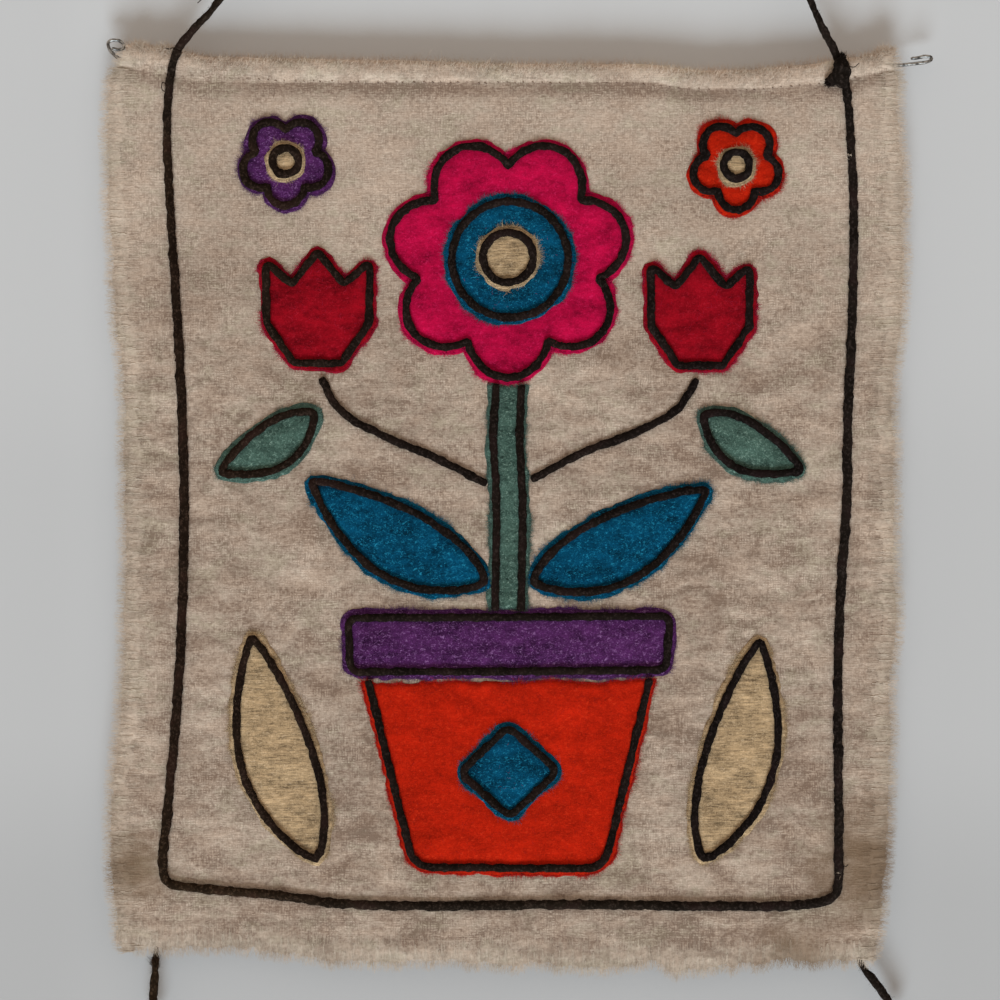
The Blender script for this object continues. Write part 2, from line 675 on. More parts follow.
def threads(paths, radii, sides=5):
    """Many thin round threads at once: paths is count x points x 3, in metres, radii count x points."""
    count, length = paths.shape[:2]
    along = unit(np.gradient(paths, axis=1))
    side = unit(np.cross(along, np.array([0.15, 0.95, 0.2])))
    up = np.cross(side, along)
    angle = math.tau * np.arange(sides) / sides
    cosines, sines = np.cos(angle)[None, None, :, None], np.sin(angle)[None, None, :, None]
    out = cosines * side[:, :, None, :] + sines * up[:, :, None, :]
    points = paths[:, :, None, :] + radii[:, :, None, None] * out
    faces = grid_faces(length, sides, wrap=True)
    start = (np.arange(count) * length * sides)[:, None, None]
    tips = np.arange(sides)
    cap = np.stack([tips[0] + 0 * tips[2:], tips[1:-1], tips[2:]], 1)
    caps = np.concatenate([cap[:, ::-1], cap + (length - 1) * sides])
    faces = [(faces[None] + start).reshape(-1, 4), (caps[None] + start).reshape(-1, 3)]
    return points.reshape(-1, 3), faces


def fuzz_round(line, radius, per_mm, length, width, seed_name):
    """Fibres that stand out of a yarn all round, along a line in metres."""
    rng = seeded(seed_name)
    along = lengths_of(line)
    count = max(4, int(along[-1] / MM * per_mm))
    at = rng.uniform(0, along[-1], count)
    middle = np.stack([np.interp(at, along, line[:, k]) for k in range(3)], 1)
    ahead = np.stack([np.interp(at + MM, along, line[:, k]) for k in range(3)], 1)
    run = unit(ahead - middle + 1e-9)
    side = unit(np.cross(run, (0.0, 1.0, 0.0)))
    up = np.cross(side, run)
    angle = rng.uniform(0, math.tau, count)[:, None]
    out = np.cos(angle) * side + np.sin(angle) * up
    out[:, 1] = -np.abs(out[:, 1]) * 0.8
    heads = out + run * rng.normal(size=(count, 1)) * 0.9
    roots = middle + out * radius * 0.85 * MM
    lengths = length * rng.uniform(0.35, 1.0, count) ** 1.4
    return fibres(roots, heads, lengths, width, rng, curl=0.6, segments=1)


# Shader nodes


class Value:
    """A socket that carries one number; an expression on such sockets adds its Math nodes."""

    def __init__(self, shader, socket):
        self.shader = shader
        self.socket = socket

    def _math(self, operation, first, second=None, clamp=False):
        inputs = {0: first} if second is None else {0: first, 1: second}
        settings = {"operation": operation, "use_clamp": clamp}
        return Value(self.shader, self.shader.node("ShaderNodeMath", settings, inputs).outputs[0])

    def __add__(self, other):
        return self._math("ADD", self, other)

    __radd__ = __add__

    def __mul__(self, other):
        return self._math("MULTIPLY", self, other)

    __rmul__ = __mul__

    def __sub__(self, other):
        return self._math("SUBTRACT", self, other)

    def __rsub__(self, other):
        return self._math("SUBTRACT", other, self)

    def __truediv__(self, other):
        return self._math("DIVIDE", self, other)

    def __pow__(self, other):
        return self._math("POWER", self, other)

    def __neg__(self):
        return self._math("MULTIPLY", self, -1.0)

    def __abs__(self):
        return self._math("ABSOLUTE", self)

    def sine(self):
        return self._math("SINE", self)

    def clamped(self):
        return self._math("ADD", self, 0.0, clamp=True)

    def larger(self, other):
        return self._math("MAXIMUM", self, other)

    def between(self, low, high):
        """0 below low, 1 above high, and smooth between them."""
        settings = {"interpolation_type": "SMOOTHSTEP", "clamp": True}
        inputs = {"Value": self, "From Min": low, "From Max": high}
        return Value(self.shader, self.shader.node("ShaderNodeMapRange", settings, inputs).outputs[0])


class Shader:
    """A material in the making, with its Principled shader."""

    def __init__(self, name, roughness=0.9, **constants):
        self.material = bpy.data.materials.new(name)
        self.material.use_nodes = True
        self.tree = self.material.node_tree
        self.surface = self.tree.nodes["Principled BSDF"]
        self.surface.inputs["Roughness"].default_value = roughness
        for socket, value in constants.items():
            self.surface.inputs[socket.replace("_", " ")].default_value = value
        self.place = self.node("ShaderNodeTexCoord").outputs["Object"]
        split = self.node("ShaderNodeSeparateXYZ", {}, {0: self.place})
        self.x, self.y, self.z = (Value(self, socket) for socket in split.outputs)

    def node(self, kind, settings=None, inputs=None):
        """A node of a type, with its settings made first and then its sockets' values or links."""
        node = self.tree.nodes.new(kind)
        for key, value in (settings or {}).items():
            setattr(node, key, value)
        for key, value in (inputs or {}).items():
            self.feed(node.inputs[key], value)
        return node

    def feed(self, socket, value):
        value = value.socket if isinstance(value, Value) else value
        if isinstance(value, bpy.types.NodeSocket):
            self.tree.links.new(value, socket)
        else:
            socket.default_value = value

    def stretched(self, x, y, z):
        """The place with its axes stretched, so that noise on it has hills of that many millimetres."""
        factors = (1 / (x * MM), 1 / (y * MM), 1 / (z * MM))
        settings = {"operation": "MULTIPLY"}
        return self.node("ShaderNodeVectorMath", settings, {0: self.place, 1: factors}).outputs[0]

    def noise(self, x, y, z, detail=2.0, roughness=0.5, distortion=0.0):
        """Noise from 0 to 1 with hills of about these sizes in millimetres."""
        inputs = {
            "Vector": self.stretched(x, y, z),
            "Scale": 1.0,
            "Detail": detail,
            "Roughness": roughness,
            "Distortion": distortion,
        }
        return Value(self, self.node("ShaderNodeTexNoise", {}, inputs).outputs[0])

    def mix(self, share, low, high, blend="MIX"):
        """A colour between two."""
        settings = {"data_type": "RGBA", "blend_type": blend, "clamp_factor": True}
        node = self.node("ShaderNodeMix", settings, {0: share})
        self.feed(node.inputs[6], (*low, 1.0) if isinstance(low, tuple) else low)
        self.feed(node.inputs[7], (*high, 1.0) if isinstance(high, tuple) else high)
        return node.outputs[2]

    def bump(self, height, distance, strength=1.0):
        inputs = {"Height": height, "Distance": distance, "Strength": strength}
        return self.node("ShaderNodeBump", {}, inputs).outputs[0]

    def weave(self, pitch, wander=1.2):
        """A plain weave from 0 to 1 whose threads come to the surface in short stretches."""
        stray = self.noise(6, 6, 6, detail=1)
        x = (self.x + (stray - 0.5) * (wander * MM * 2)) * (math.pi / pitch)
        z = (self.z + (self.noise(7, 9, 5, detail=1) - 0.5) * (wander * MM * 2)) * (math.pi / pitch)
        upright, level = abs(x.sine()), abs(z.sine())
        spots = upright * level * self.noise(2.2, 3, 2.0, roughness=0.6).between(0.42, 0.64)
        upright = upright * self.noise(2.0, 3, 2.4, roughness=0.6).between(0.42, 0.68)
        level = level * self.noise(2.8, 3, 1.8, roughness=0.6).between(0.42, 0.68)
        return (upright.larger(level) * 0.7).larger(spots)

    def done(self, colour, normal=None):
        self.feed(self.surface.inputs["Base Color"], colour)
        if normal is not None:
            self.feed(self.surface.inputs["Normal"], normal)
        return self.material


def seam_height(shader):
    """How far below the wire's line the hem's seam runs, in metres, along the cloth."""
    x = shader.x - SHEET_MIDDLE * MM
    down = 12.3 + x.between(0.070, 0.100) * 3.3 - x.between(0.125, 0.162) * 2.6
    return (down - x.between(-0.140, -0.200) * 8.5 - x.between(0.160, 0.200) * 7.0) * MM


def ground_material(paleness=None):
    """The undyed hand-woven wool, with threads of uneven thickness, brown blotches and stained corners.

    With a paleness it is for the loosened threads and fibres, which show no weave.
    """
    s = settings()
    fuzzy = paleness is not None
    shader = Shader("ground_fibre" if fuzzy else "ground_weave", 0.95, Specular_IOR_Level=0.1)
    shader.surface.inputs["Sheen Weight"].default_value = 0.12
    shader.surface.inputs["Sheen Roughness"].default_value = 0.6
    blotch = shader.noise(24, 24, 10, detail=4, roughness=0.62, distortion=0.7)
    cloud = shader.noise(75, 75, 45)
    flecks = shader.noise(1.8, 1.8, 1.5, detail=1, roughness=0.5, distortion=0.8)
    upright = shader.noise(1.3, 3, 2.6, detail=1)
    level = shader.noise(3.0, 3, 1.3, detail=1)
    rosy = shader.noise(30, 30, 17) * 0.6 + shader.noise(8, 8, 5) * 0.4
    dashes = upright.larger(level)
    bunches = shader.noise(10, 3, 3.0, roughness=0.55)
    hanging = shader.noise(3.2, 3, 9, roughness=0.55)
    plain = shader.noise(22, 22, 15)
    middle_away = abs(shader.x - SHEET_MIDDLE * MM)
    beside = middle_away.between(0.150, 0.186)
    beneath = shader.z.between(height_at(428), height_at(444))
    deep = shader.z.between(-0.29, -0.40)
    high = shader.z.between(-0.42, -0.24)
    below_seam = -shader.z - WIRE_LINE_DROP * MM - seam_height(shader)
    band = below_seam.between(0.0006, -0.0010)
    under = below_seam.between(0.0110, 0.0020) * (1 - band)
    share = 0.43 + (blotch - 0.5) * (0.26 + deep * 1.40) + (cloud - 0.5) * 0.65 + high * 0.16
    share = share + (flecks - 0.5) * 0.85 + (dashes - 0.57) * 0.7
    share = share + (bunches - 0.5) * beside * 0.45 + beside * 0.05
    share = share + (hanging - 0.5) * beneath * 0.7 - beneath * 0.10
    smudge = blotch.between(0.44, 0.60)
    share = share + band * (0.02 + 0.26 * smudge) - under * (0.20 + 0.26 * cloud.between(0.40, 0.55))
    if not fuzzy:
        weave = shader.weave(s.thread_pitch)
        share = share + (weave - 0.45) * (0.24 + 0.38 * plain.between(0.42, 0.60))
    colour = shader.mix(share.clamped(), tuple(s.ground_dark), tuple(s.ground_light))
    colour = shader.mix(rosy.between(0.42, 0.62), colour, (1.0, 0.955, 0.93), blend="MULTIPLY")
    colour = shader.mix(rosy.between(0.50, 0.36), colour, (0.955, 0.985, 0.945), blend="MULTIPLY")
    if fuzzy:
        colour = shader.mix(paleness, colour, (0.74, 0.64, 0.51))
    for across, down, reach, strength in STAINS:
        x, z = (SHEET_MIDDLE + across) * MM, height_at(down)
        away = ((shader.x - x) ** 2 + (shader.z - z) ** 2) ** 0.5
        away = away / (reach * MM) + (blotch - 0.5) * 0.9
        colour = shader.mix((1 - away.between(0.1, 1.05)) * strength, colour, tuple(s.stain))
    if fuzzy:
        return shader.done(colour)
    height = weave * 0.6 + flecks * 0.6 + dashes * 0.4
    return shader.done(colour, shader.bump(height, 0.5 * MM, 0.55))


def wool_material(name, fuzzy=False):
    """A dyed wool patch, or with fuzzy set the fibres that stand out of it."""
    colour, fleck, edge, mottling, streaks, flecks, weaving = WOOLS[name]
    dark, bright = (tuple(factor * c for c in colour) for factor in (0.32, 1.68))
    shader = Shader(name + ("_fibre" if fuzzy else ""), 0.95, Specular_IOR_Level=0.03)
    shader.surface.inputs["Sheen Weight"].default_value = 0.03
    shader.surface.inputs["Sheen Roughness"].default_value = 0.5
    cloud = shader.noise(24, 24, 12, detail=3, roughness=0.6)
    smear = shader.noise(7, 7, 4, detail=3, roughness=0.6)
    streak = shader.noise(7, 3, 0.8, detail=3, roughness=0.65)
    curl = shader.noise(1.5, 1.5, 1.1, detail=3, roughness=0.65, distortion=1.3)
    share = 0.5 + (cloud - 0.5) * (1.5 * mottling) + (smear - 0.5) * (0.9 * mottling)
    share = share + (streak - 0.5) * (1.1 * streaks)
    share = share + (curl - 0.5) * (0.35 + 1.3 * flecks)
    weave = shader.weave(1.15 * MM)
    share = share + (weave - 0.45) * (0.5 * weaving)
    colour = shader.mix(share.clamped(), dark, bright)
    colour = shader.mix(curl.between(0.54, 0.72) * min(0.8, 0.75 * flecks), colour, fleck)
    if fuzzy:
        return shader.done(shader.mix(0.75, colour, edge))
    height = curl * 0.8 + weave * (0.5 * weaving) + streak * (0.4 * streaks)
    return shader.done(colour, shader.bump(height, 0.4 * MM, 0.6))


def yarn_material():
    """Felted near-black wool yarn, with browner fibres here and there, blackest in the design."""
    base = tuple(settings().yarn_colour)
    shader = Shader("felted_yarn", 0.95, Specular_IOR_Level=0.02)
    shader.surface.inputs["Sheen Weight"].default_value = 0.01
    shader.surface.inputs["Sheen Roughness"].default_value = 0.5
    lint = shader.noise(1.5, 1.5, 1.5, detail=4, roughness=0.75)
    cloud = shader.noise(14, 14, 14, detail=3)
    dark, bright = (tuple(factor * c for c in base) for factor in (0.75, 1.35))
    colour = shader.mix(cloud.between(0.36, 0.64), dark, bright)
    colour = shader.mix(cloud.between(0.52, 0.66) * 0.5, colour, (0.024, 0.0115, 0.0100))
    colour = shader.mix(lint.between(0.50, 0.64) * 0.5, colour, (0.072, 0.051, 0.039))
    design = abs(shader.x - SHEET_MIDDLE * MM).between(0.170, 0.162)
    design = design * shader.z.between(height_at(410), height_at(402))
    design = design * shader.z.between(height_at(10), height_at(20))
    colour = shader.mix(design, colour, (0.72, 0.70, 0.78), blend="MULTIPLY")
    below_hem = shader.z.between(height_at(8), height_at(50))
    browner = shader.x.between(-0.08, -0.20) * below_hem
    colour = shader.mix(browner, colour, (1.50, 1.30, 1.05), blend="MULTIPLY")
    colour = shader.mix(shader.x.between(-0.02, 0.10), colour, (0.82, 0.85, 0.94), blend="MULTIPLY")
    return shader.done(colour, shader.bump(lint, 0.5 * MM, 0.9))


def thread_material():
    """Thin brown sewing thread."""
    shader = Shader("sewing_thread", 0.9, Specular_IOR_Level=0.1)
    tone = shader.noise(4, 4, 4)
    return shader.done(shader.mix(tone.between(0.4, 0.6), (0.150, 0.098, 0.076), (0.270, 0.190, 0.145)))


def wire_material():
    """Plain steel wire, a little dull, with darker drawn marks."""
    shader = Shader("steel_wire", 0.3, Metallic=1.0)
    dull = shader.noise(2.2, 2.2, 2.2, detail=3)
    colour = shader.mix(dull.between(0.35, 0.65), (0.44, 0.43, 0.41), (0.075, 0.071, 0.067))
    roughness = 0.22 + dull * 0.3
    shader.feed(shader.surface.inputs["Roughness"], roughness)
    return shader.done(colour, shader.bump(dull, 0.1 * MM, 0.4))


MAKERS = {
    "ground_wool": ground_material,
    "ground_fibre": partial(ground_material, 0.35),
    "ground_fray": partial(ground_material, 0.12),
    "yarn": yarn_material,
    "thread": thread_material,
    "wire": wire_material,
}
for wool in WOOLS:
    MAKERS[wool] = partial(wool_material, wool)
    MAKERS[wool + "_fibre"] = partial(wool_material, wool, fuzzy=True)


@cache
def material(name):
    """The named material, made when it is first asked for."""
    return MAKERS[name]()


# The stage


class HANGING_OT_stage(bpy.types.Operator):
    """Sets up the camera, the soft light, the wall and the floor"""

    bl_idname = "hanging.stage"
    bl_label = "Stage"

    def execute(self, context):
        scene = context.scene
        lens = bpy.data.cameras.new("camera")
        lens.sensor_width = SENSOR_WIDTH
        lens.lens = SENSOR_WIDTH * VIEW_DISTANCE / VIEW_WIDTH
        lens.clip_end = 20
        camera = bpy.data.objects.new("camera", lens)
        camera.location = (SHEET_MIDDLE * MM, -VIEW_DISTANCE, -VIEW_DROP)
        camera.rotation_euler = (math.radians(90), 0, 0)
        scene.collection.objects.link(camera)
        scene.camera = camera
        scene.view_settings.view_transform = "Standard"
        world = bpy.data.worlds.new("soft_room")
        world.use_nodes = True
        dome = world.node_tree.nodes["Background"]
        dome.inputs["Color"].default_value = (1.0, 0.878, 0.770, 1.0)
        dome.inputs["Strength"].default_value = 0.632
        scene.world = world
        sun = bpy.data.lights.new("window_light", "SUN")
        sun.energy = 3.25
        sun.angle = math.radians(27)
        sun.color = (0.776, 0.902, 1.0)
        light = bpy.data.objects.new("window_light", sun)
        light.rotation_euler = Vector((0.035, 0.53, 0.85)).to_track_quat("-Z", "Y").to_euler()
        scene.collection.objects.link(light)
        self.wall(scene)
        self.floor(scene)
        return {"FINISHED"}

    def wall(self, scene):
        """The wall shows from the front alone, so that the back of the hanging can be looked at."""
        shader = Shader("plain_wall", 0.9, Specular_IOR_Level=0.1)
        near = abs(shader.x - SHEET_MIDDLE * MM).between(0.232, 0.200)
        shade = 0.980 - shader.z.between(-0.351, -0.436) * 0.047 - shader.z.between(-0.546, -0.646) * 0.10
        shade = shade + near * 0.03
        colour = tuple(settings().wall_colour)
        shader.done(shader.mix(shade, (0.0, 0.0, 0.0), colour))
        clear = shader.node("ShaderNodeBsdfTransparent")
        behind = shader.node("ShaderNodeNewGeometry").outputs["Backfacing"]
        both = shader.node("ShaderNodeMixShader", {}, {0: behind})
        shader.feed(both.inputs[1], shader.surface.outputs[0])
        shader.feed(both.inputs[2], clear.outputs[0])
        out = shader.tree.nodes["Material Output"]
        shader.feed(out.inputs[0], both.outputs[0])
        corners = [(x, WALL_DEPTH, z) for x, z in ((-2.5, -3), (2.5, -3), (2.5, 2), (-2.5, 2))]
        wall = self.plane(scene, "wall", corners, shader.material)
        wall.visible_shadow = False
        wall.visible_diffuse = False
        wall.visible_glossy = False

    def floor(self, scene):
        shader = Shader("pale_floor", 0.85, Specular_IOR_Level=0.2)
        tone = shader.noise(300, 300, 300)
        shader.done(shader.mix(tone, (0.60, 0.60, 0.595), (0.66, 0.66, 0.655)))
        low = CAD_BOX[0].z - 0.2
        corners = [(x, y, low) for x, y in ((-3, -3), (3, -3), (3, 3), (-3, 3))]
        floor = self.plane(scene, "floor", corners, shader.material)
        floor.visible_shadow = False

    def plane(self, scene, name, corners, material):
        mesh = bpy.data.meshes.new(name)
        mesh.from_pydata(corners, [], [(0, 1, 2, 3)])
        mesh.materials.append(material)
        item = bpy.data.objects.new(name, mesh)
        scene.collection.objects.link(item)
        return item


# Cords, knots and the frame


def knot_points(middle, radii, twist, ridge=0.17, rings=44, sides=40, seed=3):
    """A lumpy knot with slanting ridges where its yarn passes over itself, in metres."""
    z = np.cos(np.linspace(0.03, math.pi - 0.03, rings))[:, None]
    angle = (math.tau * np.arange(sides) / sides)[None, :]
    wide = np.sqrt(1 - z**2)
    wave = np.abs(np.cos(angle + twist * z / 2)) * ridge + ridge * 0.6 * np.abs(np.cos(2.5 * z + angle / 2))
    rough = 0.06 * patchy(angle * 2.5 + 0 * z, z * 6 + 0 * angle, seed)
    reach = 1 - ridge * 0.8 + wave + rough
    height = z * (1 + 0 * angle) * (0.9 + 0.1 * reach)
    local = np.stack([wide * np.cos(angle) * reach, wide * np.sin(angle) * reach, height], -1)
    points = middle + local.reshape(-1, 3) * np.array(radii) * MM
    faces = grid_faces(rings, sides, wrap=True)[:, ::-1]
    top = middle + np.array([0, 0, radii[2] * MM])
    low = middle - np.array([0, 0, radii[2] * MM])
    ids = np.arange(sides)
    after = (ids + 1) % sides
    count = rings * sides
    last = count - sides
    upper = np.stack([np.full(sides, count), ids, after], 1)
    lower = np.stack([np.full(sides, count + 1), after + last, ids + last], 1)
    return np.concatenate([points, [top, low]]), [faces, np.concatenate([upper, lower])]


def tuft(place, head, count, length, width, seed_name, spread=0.5):
    """A bunch of fibres where a yarn is cut."""
    rng = seeded(seed_name)
    roots = np.array(place) + rng.normal(size=(count, 3)) * 0.8 * MM
    heads = np.array(head, float) + rng.normal(size=(count, 3)) * spread
    return fibres(roots, heads, length * rng.uniform(0.4, 1.0, count), width, rng, curl=0.35)


def laid_line(flat, layer, radius, flatness):
    """The middle line of a yarn that lies on a layer, sunk a little into the wool."""
    return placed(flat, layer_depth(flat, layer) - radius * flatness * 0.9)


def free_line(flat):
    """The middle line of a leg of the cord, which meets the frame's yarn where that lies on the hem."""
    lift = ease((flat[:, 1] + 40) / 40)
    raised = -LAY_GAP - BORDER_RADIUS
    return placed(flat, raised + lift * (cloth_depth(flat) - relief(flat) - BORDER_RADIUS * 0.5 - raised))


def tail_line(rows):
    """The middle line of a tail behind the cloth, and its shares of the yarn's radius."""
    line = evened(smooth_line(rows), 0.8)
    flat, share = line[:, :2], line[:, 2]
    behind = CLOTH_THICKNESS + LAY_GAP + share * BORDER_RADIUS
    return placed(flat, cloth_depth(flat) + behind), share


class HANGING_OT_cords(bpy.types.Operator):
    """Makes the two hanging legs with their loop knot, and the two tails with theirs"""

    bl_idname = "hanging.cords"
    bl_label = "Cords"

    def execute(self, context):
        stretches = long_yarn()
        middle = placed(np.array(TOP_KNOT_PLACE), -LAY_GAP - BORDER_RADIUS)
        knot = self.loop_knot(middle)
        for name, pieces in (("cord_left", [knot]), ("cord_right", [])):
            flat, begins = stretches[name]
            line = free_line(flat)
            thicker = ease((flat[:, 1] - LEG_THICKENS) / LEG_THICKENING)
            shares = LEG_SHARE + (1 - LEG_SHARE) * thicker
            if name == "cord_left":
                line, shares = line[::-1], shares[::-1]
                begins = 0.0
            self.cord(name, line, pieces, begins=begins, shares=shares, cut=False)
        for name, rows in (("tail_left", LEFT_TAIL), ("tail_right", RIGHT_TAIL)):
            line, shares = tail_line(rows)
            last = unit(line[-1] - line[-3])
            points, faces = knot_points(line[-1] + last * 3.9 * MM, (3.6, 3.4, 3.6), 2.0, seed=5)
            lots = [(points, faces), tuft(line[-1] + last * 6.6 * MM, last, 60, 5 * MM, CUT_HAIR, name)]
            if name == "tail_left":
                brush = placed(np.array(TAIL_BRUSH), 1.6)
                lots.append(tuft(brush, (0, -0.25, 1), 170, 4.6 * MM, COARSE_HAIR, "brush", 0.33))
            knot = new_piece(name + "_end", *joined(lots), material("yarn"), "yarn", replaces=[name + "_knot"])
            self.cord(name, line, [knot], shares=shares)
        return {"FINISHED"}

    def cord(self, name, line, pieces, **more):
        points, faces = yarn_tube(line, BORDER_RADIUS, plies=0.11, lumps=0.055, seed=12, **more)
        piece = new_piece(name + "_yarn", points, faces, material("yarn"), "yarn", replaces=[name])
        fluffy = 1.0 if name.startswith("cord") else 1.6
        length = settings().yarn_fuzz * fluffy
        fuzz = fuzz_round(line, BORDER_RADIUS * 0.85, 8.0 * fluffy, length, YARN_HAIR, name)
        new_piece(name + "_fuzz", *fuzz, material("yarn"), "yarn")

    def loop_knot(self, middle):
        """The knot where the legs meet, with the small loop above it that goes over the nail."""
        angle = math.tau * np.arange(96) / 96
        height = (1 - np.cos(angle)) / 2
        width = 9.5 * MM * np.sin(angle) * (0.45 + 0.55 * height)
        rise = (BORDER_RADIUS * MM - middle[2]) * height
        loop = middle + np.stack([width, -middle[1] * height, rise], 1)
        tube = yarn_tube(loop, BORDER_RADIUS, closed=True, plies=0.16, seed=4)
        body = knot_points(middle, (5.2, 4.2, 6.4), 6.0)
        ends = tuft(middle + np.array([0.002, -0.001, -0.006]), (0.3, -0.2, -1), 60, 7 * MM, CUT_HAIR, "ends")
        fuzz = fuzz_round(loop, BORDER_RADIUS, 2.2, settings().yarn_fuzz, FINE_HAIR, "loop")
        points, faces = joined([tube, body, ends, fuzz])
        return new_piece("hanging_loop", points, faces, material("yarn"), "yarn", replaces=["loop_knot"])


class HANGING_OT_frame_yarn(bpy.types.Operator):
    """Makes the yarn frame round the cloth and the knot that closes it at the top right"""

    bl_idname = "hanging.frame_yarn"
    bl_label = "Frame Yarn"

    def execute(self, context):
        flat, begins = long_yarn()["border_yarn"]
        line = laid_line(flat, 0, BORDER_RADIUS, FRAME_FLATNESS)
        shares = 1 + FRAME_SWELL * ease((flat[:, 1] - 70) / 90)
        tube = yarn_tube(
            line, BORDER_RADIUS, seed=12, flatness=FRAME_FLATNESS, shares=shares, begins=begins, cut=False
        )
        fuzz = fuzz_round(line, BORDER_RADIUS, 7.0, settings().yarn_fuzz, YARN_HAIR, "border")
        new_piece("frame_yarn", *tube, material("yarn"), "yarn", replaces=["border_yarn"])
        new_piece("frame_yarn_fuzz", *fuzz, material("yarn"), "yarn")
        self.hem_knot()
        return {"FINISHED"}

    def hem_knot(self):
        radii = (4.3, 3.2, 7.8)
        middle = placed(np.array(HEM_KNOT_PLACE), -LAY_GAP - radii[1] * 1.09)
        body = knot_points(middle, radii, 9.0, ridge=0.2, seed=8)
        stub_line = placed(evened(smooth_line(HEM_KNOT_STUB), 0.5), -LAY_GAP - 2.4)
        stub = yarn_tube(stub_line, 2.7, seed=9, cut=False)
        cut = tuft(stub_line[-1], (-1.0, 0, -0.5), 160, 2.2 * MM, 0.3 * MM, "stub", 0.4)
        spur_root = placed(np.array(KNOT_SPUR), -3.0)
        spur = tuft(spur_root, (-0.05, 0, 1.0), 110, 3.0 * MM, 0.35 * MM, "spur", 0.16)
        stray = smooth_line(placed(np.array(KNOT_THREAD), -4.0))
        hair = threads(stray[None], np.full((1, len(stray)), 0.2 * MM), 4)
        around = evened(np.array([middle + [0, 0, 0.0075], middle - [0, 0, 0.0075]]), 0.001)
        fuzz = fuzz_round(around, 4.0, 14, 1.6 * MM, FINE_HAIR, "hem knot")
        points, faces = joined([body, stub, cut, spur, hair, fuzz])
        new_piece("frame_knot", points, faces, material("yarn"), "yarn", replaces=["hem_knot"])


# The wire


def hem_back(below_top):
    share = np.clip((below_top - FOLD_RADIUS) / (HEM_HEIGHT - FOLD_RADIUS), 0, 1)
    narrowest = 2 * CLOTH_THICKNESS + FLAP_GAP
    return 2 * FOLD_RADIUS + (narrowest - 2 * FOLD_RADIUS) * share


class HANGING_OT_wire(bpy.types.Operator):
    """Makes the bent wire that holds the hem straight"""

    bl_idname = "hanging.wire"
    bl_label = "Wire"

    def execute(self, context):
        route = np.array(WIRE_EYE + WIRE_ROD + WIRE_HOOK, float)
        depth = hem_back(route[:, 1] - read_table(HEM_TOP, route[:, 0])) / 2
        depth[:4] -= 1.7 * (1 - np.arange(4) / 4)
        line = evened(smooth_line(np.column_stack([route, depth])), 0.8)
        points = placed(line[:, :2], line[:, 2])
        tube = yarn_tube(points, WIRE_RADIUS, plies=0.0, lumps=0.02, sides=12, seed=2)
        new_piece("hem_wire_rod", *tube, material("wire"), "wire", replaces=["hem_wire"])
        return {"FINISHED"}


# The ground cloth


def edge_point(column, height):
    """The place on the cloth at a share of its width and of its height, up to the fold."""
    column, height = np.broadcast_arrays(column, height)
    down = (1 - height) * read_table(BOTTOM_EDGE, 0.0)
    for _ in range(4):
        left = read_table(SIDE_EDGES, down, 1)
        right = read_table(SIDE_EDGES, down, 2)
        across = left + (right - left) * column
        top = read_table(HEM_TOP, across) + FOLD_RADIUS
        bottom = read_table(BOTTOM_EDGE, across)
        down = bottom + (top - bottom) * height
    return np.stack([across, down], -1)


